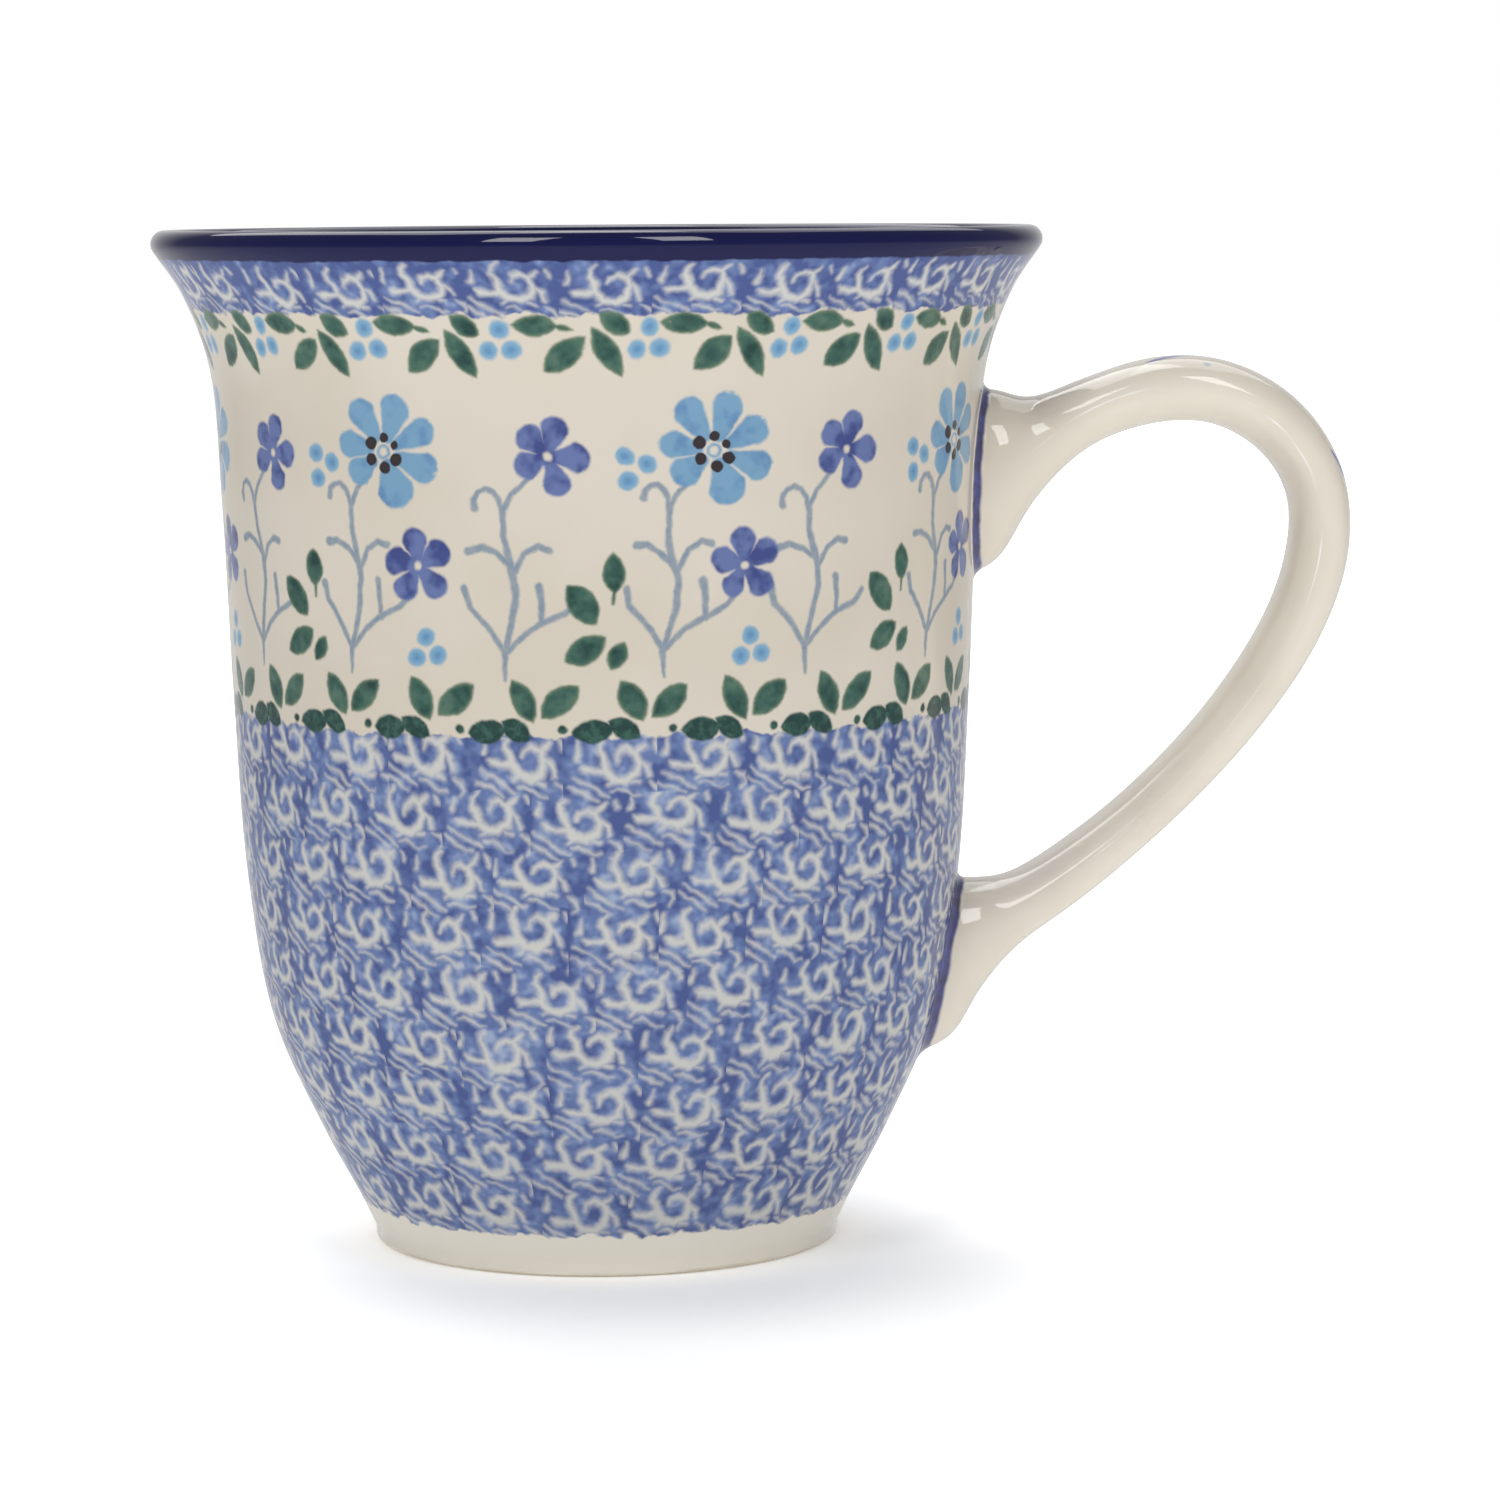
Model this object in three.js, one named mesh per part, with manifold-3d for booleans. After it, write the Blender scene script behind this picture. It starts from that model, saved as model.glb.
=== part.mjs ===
// Stoneware mug: a turned cup with a flared rim, and a pulled handle luted on with slip.
// Millimetres, +Z up. The origin is on the cup's axis, in the plane that it stands on,
// and the handle is towards +X.

import * as THREE from 'three';
import * as BufferGeometryUtils from 'three/addons/utils/BufferGeometryUtils.js';
import Module from 'manifold-3d';

const wasm = await Module();
wasm.setup();

// ---------------------------------------------------------------- driving dimensions

const WALL_THICKNESS = 4.2;       // square to the outside, over most of the height
const LIP_RADIUS = 1.6;           // the rim is a full round, so the wall there is twice this
const LIP_TAPER_FROM = 98;        // height where the wall starts to thin towards the lip
const FLOOR_TOP = 7.5;            // height of the inside floor on the axis
const FLOOR_BLEND_START = 0.19;   // where the inside wall turns into the floor, along the outside curve
const FOOT_RING_WIDTH = 5.6;      // flat, unglazed part that touches the table
const FOOT_EDGE_ROUND = 0.8;      // rounding of the foot ring's two edges
const RECESS_DEPTH = 0.9;         // flat recess inside the foot ring
const LATHE_SEGMENTS = 56;

// Outside of the wall from the foot to just under the lip, as [radius, height].
const WALL_OUTSIDE = [
  [27.7, 1.6], [29.3, 5], [34.0, 14], [39.5, 27], [42.3, 44], [43.6, 65],
  [44.6, 88], [45.8, 104], [48.8, 112.5], [52.1, 117.5],
];
const WALL_STEPS = 22;
const LIP_STEPS = 6;
const FLOOR_STEPS = 7;

// The handle's edges in the XZ plane, in pairs, as [x, z]: away from the cup, then facing it.
// The first and last pairs lie inside the cup's wall and are trimmed off.
const HANDLE_PAIRS = [
  [[39.0, 100.4], [39.0, 78.4]],
  [[46.4, 100.7], [46.4, 79.6]],
  [[50.9, 99.5], [51.0, 87.0]],
  [[57.0, 101.6], [57.8, 93.7]],
  [[65.4, 104.2], [65.8, 96.5]],
  [[74.2, 103.9], [72.6, 96.4]],
  [[82.8, 99.2], [78.4, 93.1]],
  [[88.2, 90.8], [81.7, 88.0]],
  [[88.9, 80.8], [81.8, 81.6]],
  [[85.1, 70.0], [79.1, 73.3]],
  [[77.1, 58.6], [71.7, 62.1]],
  [[66.9, 48.1], [62.5, 52.5]],
  [[56.5, 39.4], [53.8, 45.8]],
  [[49.2, 34.2], [48.4, 42.7]],
  [[44.6, 28.7], [44.3, 42.2]],
  [[41.5, 23.5], [40.2, 42.4]],
  [[37.6, 21.6], [36.6, 42.6]],
  [[33.6, 21.0], [33.0, 42.6]],
];
const HANDLE_HALF_WIDTH = 7;      // across the grip, along Y
const PAD_HALF_WIDTH = 9.7;       // across the pads that meet the wall
const UPPER_PAD_REACH = 0.17;     // part of the handle's length over which each pad narrows
const LOWER_PAD_REACH = 0.22;
const SECTION_POWER = 2.3;        // 2 is an ellipse; higher is squarer
const HANDLE_RINGS = 48;
const HANDLE_SIDES = 20;

const GAP = 0.3;                  // between touching pieces
const SLIP_THICKNESS = 0.8;       // layer of slip between the wall and a pad
const SLIP_MARGIN = 0.3;          // the slip stands this far out around a pad
const HANDLE_MIDDLE_HEIGHT = 60;  // splits the upper joint from the lower one

// ---------------------------------------------------------------- materials

const glaze = (color) => new THREE.MeshStandardMaterial({ color, roughness: 0.16, metalness: 0 });
const cupGlaze = glaze(0x8e9bb4);
const handleGlaze = glaze(0xd9d1bf);
const slipGlaze = glaze(0x3c4f9c);

// ---------------------------------------------------------------- the cup's profile

const wallCurve = new THREE.CatmullRomCurve3(
  WALL_OUTSIDE.map(([radius, height]) => new THREE.Vector3(radius, height, 0)),
  false, 'centripetal');

// A point on the wall's outside, the direction up the wall, and the direction out of it.
function wallFrame(t) {
  const point = wallCurve.getPoint(t);
  const along = wallCurve.getTangent(t);
  return {
    point: new THREE.Vector2(point.x, point.y),
    along: new THREE.Vector2(along.x, along.y),
    out: new THREE.Vector2(along.y, -along.x),
  };
}

function wallPoint(t, depth) {
  const { point, out } = wallFrame(t);
  return point.addScaledVector(out, -depth);
}

function thicknessAt(t) {
  const height = wallFrame(t).point.y;
  const lipHeight = WALL_OUTSIDE.at(-1)[1];
  const blend = THREE.MathUtils.smoothstep(height, LIP_TAPER_FROM, lipHeight);
  return THREE.MathUtils.lerp(WALL_THICKNESS, 2 * LIP_RADIUS, blend);
}

function lipPoints() {
  const { out, along } = wallFrame(1);
  const centre = wallPoint(1, LIP_RADIUS);
  return range(1, LIP_STEPS - 1).map((step) => {
    const angle = Math.PI * step / LIP_STEPS;
    return centre.clone()
      .addScaledVector(out, LIP_RADIUS * Math.cos(angle))
      .addScaledVector(along, LIP_RADIUS * Math.sin(angle));
  });
}

function floorPoints() {
  const depth = thicknessAt(FLOOR_BLEND_START);
  const start = wallPoint(FLOOR_BLEND_START, depth);
  const downWall = wallFrame(FLOOR_BLEND_START).along.negate();
  const drop = start.y - FLOOR_TOP;
  const curve = new THREE.CubicBezierCurve(
    start,
    start.clone().addScaledVector(downWall, 0.75 * drop),
    new THREE.Vector2(0.5 * start.x, FLOOR_TOP),
    new THREE.Vector2(0, FLOOR_TOP));
  return curve.getPoints(FLOOR_STEPS).slice(1);
}

function footPoints() {
  const outer = WALL_OUTSIDE[0][0] - FOOT_EDGE_ROUND;
  const inner = outer - FOOT_RING_WIDTH;
  return [
    new THREE.Vector2(0, RECESS_DEPTH),
    new THREE.Vector2(inner - FOOT_EDGE_ROUND, RECESS_DEPTH),
    new THREE.Vector2(inner, 0),
    new THREE.Vector2(outer, 0),
    new THREE.Vector2(outer + FOOT_EDGE_ROUND / 2, FOOT_EDGE_ROUND / 3),
  ];
}

function range(first, last) {
  return Array.from({ length: last - first + 1 }, (_, index) => first + index);
}

function cupProfile() {
  const outside = range(0, WALL_STEPS).map((step) => wallPoint(step / WALL_STEPS, 0));
  const insideSteps = Math.round(WALL_STEPS * (1 - FLOOR_BLEND_START));
  const inside = range(0, insideSteps).map((step) => {
    const t = THREE.MathUtils.lerp(1, FLOOR_BLEND_START, step / insideSteps);
    return wallPoint(t, thicknessAt(t));
  });
  return [...footPoints(), ...outside, ...lipPoints(), ...inside, ...floorPoints()];
}

// The profile turns about Y in LatheGeometry, so the result is stood up to have Z as its axis.
function turned(profile) {
  const geometry = new THREE.LatheGeometry(profile, LATHE_SEGMENTS);
  geometry.rotateX(Math.PI / 2);
  return weld(geometry);
}

// The space inside the wall's outside, grown by a margin: the handle and slip are cut by it.
function cupEnvelope(margin) {
  const outside = range(0, WALL_STEPS).map((step) => wallPoint(step / WALL_STEPS, -margin));
  return turned([
    new THREE.Vector2(0, outside[0].y), ...outside, new THREE.Vector2(0, outside.at(-1).y),
  ]);
}

// ---------------------------------------------------------------- the handle

function edgeCurve(side) {
  const points = HANDLE_PAIRS.map((pair) => new THREE.Vector3(pair[side][0], 0, pair[side][1]));
  return new THREE.CatmullRomCurve3(points, false, 'centripetal');
}
const awayEdge = edgeCurve(0);
const facingEdge = edgeCurve(1);

function halfWidthAt(t) {
  const upperPad = 1 - THREE.MathUtils.smoothstep(t, 0.05, UPPER_PAD_REACH);
  const lowerPad = THREE.MathUtils.smoothstep(t, 1 - LOWER_PAD_REACH, 0.95);
  return THREE.MathUtils.lerp(HANDLE_HALF_WIDTH, PAD_HALF_WIDTH, Math.max(upperPad, lowerPad));
}

// A closed ring of points around the handle: a squared ellipse between its two edges.
function handleRing(t, margin) {
  const away = awayEdge.getPoint(t);
  const facing = facingEdge.getPoint(t);
  const centre = away.clone().add(facing).multiplyScalar(0.5);
  const across = away.clone().sub(centre);
  const halfDepth = across.length() + margin;
  const halfWidth = halfWidthAt(t) + margin;
  across.normalize();
  return range(0, HANDLE_SIDES - 1).map((side) => {
    const angle = 2 * Math.PI * side / HANDLE_SIDES;
    const flat = (value) => Math.sign(value) * Math.abs(value) ** (2 / SECTION_POWER);
    const point = centre.clone().addScaledVector(across, halfDepth * flat(Math.cos(angle)));
    point.y = halfWidth * flat(Math.sin(angle));
    return point;
  });
}

// Joins rings of equal length into one closed body, with a fan over each end.
function loft(rings) {
  const sides = rings[0].length;
  const ends = [rings[0], rings.at(-1)].map((ring) => {
    const sum = ring.reduce((total, point) => total.add(point), new THREE.Vector3());
    return sum.divideScalar(sides);
  });
  const points = [...rings.flat(), ...ends];
  const firstCentre = rings.length * sides;
  const lastRing = (rings.length - 1) * sides;
  const index = [];
  for (const side of range(0, sides - 1)) {
    const next = (side + 1) % sides;
    for (const ring of range(0, rings.length - 2)) {
      const low = ring * sides;
      const high = low + sides;
      index.push(low + side, high + side, high + next, low + side, high + next, low + next);
    }
    index.push(firstCentre, side, next);
    index.push(firstCentre + 1, lastRing + next, lastRing + side);
  }
  const geometry = new THREE.BufferGeometry().setFromPoints(points);
  geometry.setIndex(index);
  return geometry;
}

function handleGeometry(margin) {
  return loft(range(0, HANDLE_RINGS).map((ring) => handleRing(ring / HANDLE_RINGS, margin)));
}

// ---------------------------------------------------------------- joining and cutting

function weld(geometry) {
  geometry.deleteAttribute('normal');
  geometry.deleteAttribute('uv');
  return BufferGeometryUtils.mergeVertices(geometry, 1e-4);
}

function toSolid(geometry) {
  const welded = weld(geometry.clone());
  return new wasm.Manifold(new wasm.Mesh({
    numProp: 3,
    vertProperties: new Float32Array(welded.attributes.position.array),
    triVerts: new Uint32Array(welded.index.array),
  }));
}

function toGeometry(solid) {
  const mesh = solid.getMesh();
  const geometry = new THREE.BufferGeometry();
  geometry.setAttribute('position', new THREE.BufferAttribute(mesh.vertProperties, 3));
  geometry.setIndex(new THREE.BufferAttribute(mesh.triVerts, 1));
  return geometry;
}

const slipOutside = cupEnvelope(GAP + SLIP_THICKNESS);
const slipInside = cupEnvelope(GAP);
const handleSeat = cupEnvelope(2 * GAP + SLIP_THICKNESS);

function handle() {
  return toGeometry(toSolid(handleGeometry(0)).subtract(toSolid(handleSeat)));
}

// The layer of slip under one pad: a thin curved plate that follows the wall.
function slipJoint(lowest, highest) {
  const size = 4 * PAD_HALF_WIDTH;
  const slab = new THREE.BoxGeometry(size, size, highest - lowest);
  slab.translate(WALL_OUTSIDE.at(-1)[0] - 0.3 * size, 0, (lowest + highest) / 2);
  const layer = toSolid(slipOutside).subtract(toSolid(slipInside));
  return toGeometry(toSolid(handleGeometry(SLIP_MARGIN)).intersect(layer).intersect(toSolid(slab)));
}

// ---------------------------------------------------------------- assembly

function piece(name, geometry, material) {
  const mesh = new THREE.Mesh(geometry, material);
  mesh.name = name;
  return mesh;
}

const rimHeight = WALL_OUTSIDE.at(-1)[1];
const group = new THREE.Group();
group.add(
  piece('cup_body', turned(cupProfile()), cupGlaze),
  piece('handle', handle(), handleGlaze),
  piece('upper_slip_joint', slipJoint(HANDLE_MIDDLE_HEIGHT, rimHeight), slipGlaze),
  piece('lower_slip_joint', slipJoint(0, HANDLE_MIDDLE_HEIGHT), slipGlaze),
);

export default group;
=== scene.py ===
"""Looks of the stoneware mug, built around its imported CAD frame.

Shapes and painting are worked out in millimetres. Meshes, lights and the camera are in metres.
"""

import math

import bpy
import numpy as np
from mathutils import Matrix, Vector


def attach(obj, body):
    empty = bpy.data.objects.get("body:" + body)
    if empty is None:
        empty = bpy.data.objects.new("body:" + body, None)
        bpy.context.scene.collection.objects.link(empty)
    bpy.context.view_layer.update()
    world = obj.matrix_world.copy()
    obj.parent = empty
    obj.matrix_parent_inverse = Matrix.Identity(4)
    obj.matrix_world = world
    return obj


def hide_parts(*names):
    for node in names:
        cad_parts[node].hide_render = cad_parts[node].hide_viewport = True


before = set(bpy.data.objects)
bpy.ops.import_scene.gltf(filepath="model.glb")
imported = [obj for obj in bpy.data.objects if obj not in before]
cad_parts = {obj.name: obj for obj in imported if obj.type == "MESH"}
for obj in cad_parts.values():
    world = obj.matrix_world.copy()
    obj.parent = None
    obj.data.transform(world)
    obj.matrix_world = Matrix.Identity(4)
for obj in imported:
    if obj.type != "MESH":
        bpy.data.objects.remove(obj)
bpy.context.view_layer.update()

MM = 0.001

# ---------------- shape of the cup and handle

# Outside of the wall as (radius, height) in mm, the same stations as the CAD cup.
WALL_OUTSIDE = [
    (27.7, 1.6), (29.3, 5), (34.0, 14), (39.5, 27), (42.3, 44), (43.6, 65),
    (44.6, 88), (45.8, 104), (48.8, 112.5), (52.1, 117.5),
]
WALL_THICKNESS = 4.2
LIP_RADIUS = 1.6
LIP_TAPER_FROM = 98  # mm up: from here the wall thins towards the lip
FLOOR_TOP = 7.5  # mm up: the floor inside, on the axis
FLOOR_BLEND_START = 0.19  # where on the wall's curve, from 0 to 1, the inside turns towards the floor
FLOOR_CORNER = 0.75  # how much of the drop to the floor keeps the wall's slope
FOOT_RING_WIDTH = 5.6
FOOT_EDGE_ROUND = 0.8
FOOT_EDGE_END = 340  # degrees: where the round of the foot's edge runs into the wall
RECESS_DEPTH = 0.9
CUP_SIDES = 288
WALL_STEPS = 110
LIP_STEPS = 14
INSIDE_POINTS = 90
FLOOR_STEPS = 34
RECESS_POINTS = 12
RECESS_EDGE_STEPS = 5
FOOT_EDGE_STEPS = 7
PLAIN_SHARE = 0.22  # texture per mm on the foot and the inside, where the outside has 1
FOOT_FINISH, OUTSIDE_FINISH, INSIDE_FINISH = 0, 1, 2

# The handle's edges in the XZ plane in mm, the same pairs as the CAD handle.
HANDLE_PAIRS = [
    ((39.0, 100.4), (39.0, 78.4)), ((46.4, 100.7), (46.4, 79.6)), ((50.9, 99.5), (51.0, 87.0)),
    ((57.0, 101.6), (57.8, 93.7)), ((65.4, 104.2), (65.8, 96.5)), ((74.2, 103.9), (72.6, 96.4)),
    ((82.8, 99.2), (78.4, 93.1)), ((88.2, 90.8), (81.7, 88.0)), ((88.9, 80.8), (81.8, 81.6)),
    ((85.1, 70.0), (79.1, 73.3)), ((77.1, 58.6), (71.7, 62.1)), ((66.9, 48.1), (62.5, 52.5)),
    ((56.5, 39.4), (53.8, 45.8)), ((49.2, 34.2), (48.4, 42.7)), ((44.6, 28.7), (44.3, 42.2)),
    ((41.5, 23.5), (40.2, 42.4)), ((37.6, 21.6), (36.6, 42.6)), ((33.6, 21.0), (33.0, 42.6)),
]
GRIP_HALF_WIDTH = 7.0
PAD_HALF_WIDTH = 9.7
UPPER_PAD_NARROWS = (0.05, 0.17)  # stretches of the handle's length, from 0 to 1
LOWER_PAD_WIDENS = (0.78, 0.95)
SECTION_POWER = 2.3  # 2 would make the section an ellipse; more makes it squarer
HANDLE_SIDES = 96
UNTRIMMED_STEPS = 420
HANDLE_RINGS = 241
HANDLE_EVENING = 6  # steps that each edge of the handle is evened out over
END_CROWDING = 0.45  # how far the rings crowd together towards the pads, from 0 to 1
WALL_GAP = 0.35  # mm between the wall and the trimmed handle
HIGHLIGHT_LINE_START = 0.235  # where the painted highlight line lies at first, as a share of the way round the section
HIGHLIGHT_LINE_SHIFT = 0.05  # how far round it then moves, between these places along the spine
HIGHLIGHT_LINE_SHIFT_OVER = (20, 60)

SLIP_FILLET = 1.25  # radius in mm of the fillet of slip round each pad
SLIP_STEPS = 12
SLIP_LAP = 0.02  # mm: how far the fillet starts off the wall and ends inside the pad's skin
SLIP_UNDER = 0.12  # mm: how far the slip reaches under the wall's surface
SLIP_INTO_PAD = 0.25  # mm: how far it reaches into the pad


def smoothstep(low, high, value):
    x = np.clip((np.asarray(value, float) - low) / (high - low), 0, 1)
    return x * x * (3 - 2 * x)


def spline(points):
    """A centripetal Catmull-Rom curve through the points, as a function of 0 to 1."""
    points = np.array(points, float)
    padded = np.vstack([2 * points[0] - points[1], points, 2 * points[-1] - points[-2]])
    gaps = np.linalg.norm(np.diff(padded, axis=0), axis=1) ** 0.5

    def at(t):
        place = np.clip(np.asarray(t, float), 0, 1) * (len(points) - 1)
        span = np.minimum(place.astype(int), len(points) - 2)
        x = (place - span)[..., None]
        p0, p1, p2, p3 = (padded[span + k] for k in range(4))
        d0, d1, d2 = (gaps[span + k][..., None] for k in range(3))
        m1 = ((p1 - p0) / d0 - (p2 - p0) / (d0 + d1) + (p2 - p1) / d1) * d1
        m2 = ((p2 - p1) / d1 - (p3 - p1) / (d1 + d2) + (p3 - p2) / d2) * d1
        return (p1 + m1 * x + (3 * (p2 - p1) - 2 * m1 - m2) * x ** 2
                + (2 * (p1 - p2) + m1 + m2) * x ** 3)

    return at


wall_curve = spline(WALL_OUTSIDE)


def wall_frame(t):
    """Points up the wall's outside, the directions up the wall and the directions out of it."""
    step = 1e-4
    t = np.asarray(t, float)
    along = wall_curve(t + step) - wall_curve(t - step)
    along /= np.linalg.norm(along, axis=-1, keepdims=True)
    out = np.stack([along[..., 1], -along[..., 0]], -1)
    return wall_curve(t), along, out


def wall_inside(t):
    point, _, out = wall_frame(t)
    thinning = smoothstep(LIP_TAPER_FROM, WALL_OUTSIDE[-1][1], point[..., 1])[..., None]
    return point - out * (WALL_THICKNESS + (2 * LIP_RADIUS - WALL_THICKNESS) * thinning)


def bezier(points, steps):
    t = np.linspace(0, 1, steps + 1)[:, None]
    a, b, c, d = (np.array(p, float) for p in points)
    return a * (1 - t) ** 3 + 3 * b * t * (1 - t) ** 2 + 3 * c * t ** 2 * (1 - t) + d * t ** 3


def arc(centre, radius, start, end, steps):
    """Points on a circle from one angle to the other, in degrees."""
    angles = np.radians(np.linspace(start, end, steps + 1))
    return np.array(centre) + radius * np.stack([np.cos(angles), np.sin(angles)], -1)


def foot_profile():
    """From the middle of the base out to the wall, with rounded edges on the foot ring."""
    r = FOOT_EDGE_ROUND
    outer = WALL_OUTSIDE[0][0]
    inner = outer - r - FOOT_RING_WIDTH
    recess = np.stack([np.linspace(0, inner - r, RECESS_POINTS), np.full(RECESS_POINTS, RECESS_DEPTH)], -1)
    inner_edge = arc((inner, r / 2), r / 2, 180, 270, RECESS_EDGE_STEPS)
    outer_edge = arc((outer - r, r), r, 270, FOOT_EDGE_END, FOOT_EDGE_STEPS)
    return np.vstack([recess, inner_edge, outer_edge])


def floor_profile():
    """From the wall's inside round to the middle of the floor."""
    start = wall_inside(FLOOR_BLEND_START)
    _, along, _ = wall_frame(FLOOR_BLEND_START)
    corner = start - FLOOR_CORNER * (start[1] - FLOOR_TOP) * along
    return bezier([start, corner, (start[0] / 2, FLOOR_TOP), (0, FLOOR_TOP)], FLOOR_STEPS)[1:]


def cup_profile():
    """The section as (radius, height) points, in five stretches from the base to the floor inside."""
    foot = foot_profile()
    outside = wall_curve(np.linspace(0, 1, WALL_STEPS + 1))
    end, along, out = wall_frame(1)
    lip_angles = np.linspace(0, math.pi, LIP_STEPS + 1)[1:-1, None]
    lip = end - out * LIP_RADIUS + LIP_RADIUS * (out * np.cos(lip_angles) + along * np.sin(lip_angles))
    inside = wall_inside(np.linspace(1, FLOOR_BLEND_START, INSIDE_POINTS))
    bottom = floor_profile()
    return [foot, outside, lip, inside, bottom]


def wall_radius(height):
    points = wall_curve(np.linspace(0, 1, 600))
    return np.interp(height, points[:, 1], points[:, 0])


def wall_slope(height):
    """How many mm the wall's radius grows over 1 mm of height."""
    return wall_radius(height + 0.5) - wall_radius(height - 0.5)


def wall_distance(points):
    """Distance out from the cup's wall, in mm, close to the wall."""
    radius = np.hypot(points[..., 0], points[..., 1])
    return (radius - wall_radius(points[..., 2])) / np.sqrt(1 + wall_slope(points[..., 2]) ** 2)


def wall_normal(points):
    radius = np.hypot(points[..., 0], points[..., 1])
    slope = wall_slope(points[..., 2])
    normal = np.stack([points[..., 0] / radius, points[..., 1] / radius, -slope], -1)
    return normal / np.linalg.norm(normal, axis=-1, keepdims=True)


# ---------------- meshes


def make_mesh(name, points, faces):
    """A smooth-shaded object from points in mm."""
    mesh = bpy.data.meshes.new(name)
    mesh.from_pydata([tuple(p) for p in np.asarray(points) * MM], [], faces)
    mesh.update()
    mesh.polygons.foreach_set("use_smooth", [True] * len(mesh.polygons))
    thing = bpy.data.objects.new(name, mesh)
    bpy.context.scene.collection.objects.link(thing)
    return thing


def make_cup():
    """The turned cup, with a texture layout and a finish for each face."""
    sections = cup_profile()
    profile = np.vstack(sections)
    finishes = [FOOT_FINISH, OUTSIDE_FINISH, OUTSIDE_FINISH, INSIDE_FINISH, INSIDE_FINISH]
    finish_of = np.repeat(finishes, [len(s) for s in sections])
    angles = 2 * math.pi * np.arange(CUP_SIDES) / CUP_SIDES
    ring = np.stack([np.cos(angles), np.sin(angles)], -1)
    body = profile[1:-1]
    points = np.concatenate([
        np.stack([np.outer(body[:, 0], ring[:, 0]), np.outer(body[:, 0], ring[:, 1]),
                  np.repeat(body[:, 1:2], CUP_SIDES, 1)], -1).reshape(-1, 3),
        [[0, 0, profile[0, 1]], [0, 0, profile[-1, 1]]],
    ])
    rows = len(body)
    base_middle, floor_middle = rows * CUP_SIDES, rows * CUP_SIDES + 1
    faces, texture, finish = [], [], []
    share = texture_share(profile, finish_of)
    for row in range(rows - 1):
        for side in range(CUP_SIDES):
            after = (side + 1) % CUP_SIDES
            a, b = row * CUP_SIDES + side, row * CUP_SIDES + after
            faces.append((a, b, b + CUP_SIDES, a + CUP_SIDES))
            u0, u1 = side / CUP_SIDES, (side + 1) / CUP_SIDES
            v0, v1 = share[row + 1], share[row + 2]
            texture += [(u0, v0), (u1, v0), (u1, v1), (u0, v1)]
            finish.append(finish_of[row + 2])
    last = (rows - 1) * CUP_SIDES
    for side in range(CUP_SIDES):
        after = (side + 1) % CUP_SIDES
        u0, u1 = side / CUP_SIDES, (side + 1) / CUP_SIDES
        faces.append((base_middle, after, side))
        texture += [((u0 + u1) / 2, share[0]), (u1, share[1]), (u0, share[1])]
        finish.append(FOOT_FINISH)
        faces.append((floor_middle, last + side, last + after))
        texture += [((u0 + u1) / 2, share[-1]), (u0, share[-2]), (u1, share[-2])]
        finish.append(INSIDE_FINISH)
    cup = make_mesh("cup", points, faces)
    layer = cup.data.uv_layers.new(name="OFBake")
    layer.data.foreach_set("uv", np.array(texture, np.float32).ravel())
    cup.data.polygons.foreach_set("material_index", finish)
    return cup


def texture_share(profile, finish_of):
    """How far up the texture each profile point is: the decorated outside gets most of it."""
    lengths = np.linalg.norm(np.diff(profile, axis=0), axis=1)
    lengths *= np.where(finish_of[1:] == OUTSIDE_FINISH, 1.0, PLAIN_SHARE)
    share = np.concatenate([[0], np.cumsum(lengths)])
    return share / share[-1]


away_edge = spline([(a[0], 0, a[1]) for a, _ in HANDLE_PAIRS])
facing_edge = spline([(f[0], 0, f[1]) for _, f in HANDLE_PAIRS])


def evened(curve, reach):
    """The same curve with its curvature averaged over that many points each way."""
    offsets = np.arange(-3 * reach, 3 * reach + 1)
    weights = np.exp(-0.5 * (offsets / reach) ** 2)
    weights /= weights.sum()
    padded = np.pad(curve, ((3 * reach, 3 * reach), (0, 0)), mode="reflect", reflect_type="odd")
    return np.stack([np.convolve(padded[:, k], weights, mode="valid") for k in range(3)], -1)


def squarer(value):
    """A ring's sine or cosine, bent so that the ring is a little squarer than an ellipse."""
    return np.sign(value) * np.abs(value) ** (2 / SECTION_POWER)


def handle_surface():
    """Rings of points along the handle, before it is trimmed to the wall."""
    t = np.linspace(0, 1, UNTRIMMED_STEPS + 1)
    away, facing = evened(away_edge(t), HANDLE_EVENING), evened(facing_edge(t), HANDLE_EVENING)
    centre, across = (away + facing) / 2, (away - facing) / 2
    depth = np.linalg.norm(across, axis=1, keepdims=True)
    across /= depth
    pads = np.maximum(1 - smoothstep(*UPPER_PAD_NARROWS, t), smoothstep(*LOWER_PAD_WIDENS, t))
    width = GRIP_HALF_WIDTH + (PAD_HALF_WIDTH - GRIP_HALF_WIDTH) * pads
    angles = 2 * math.pi * np.arange(HANDLE_SIDES) / HANDLE_SIDES
    return (centre[:, None] + across[:, None] * (depth * squarer(np.cos(angles)))[..., None]
            + np.array([0, 1, 0]) * (width[:, None] * squarer(np.sin(angles)))[..., None])


def surface_normals(points):
    """The direction out of the handle at each point of its rings."""
    round_ring = np.roll(points, -1, 1) - np.roll(points, 1, 1)
    along = np.gradient(points, axis=0)
    normal = np.cross(along, round_ring)
    return normal / np.linalg.norm(normal, axis=-1, keepdims=True)


def line_at(distance, target):
    """The place along a list of distances, as a fraction of an index, where one is reached."""
    crossing = np.nonzero((distance[:-1] - target) * (distance[1:] - target) <= 0)[0]
    first = crossing[0]
    part = (target - distance[first]) / (distance[first + 1] - distance[first])
    return first + part


def sample(line, place):
    """Points of a line at fractions of an index."""
    index = np.minimum(np.floor(place).astype(int), len(line) - 2)
    part = (place - index)[..., None]
    return line[index] * (1 - part) + line[index + 1] * part


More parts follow.
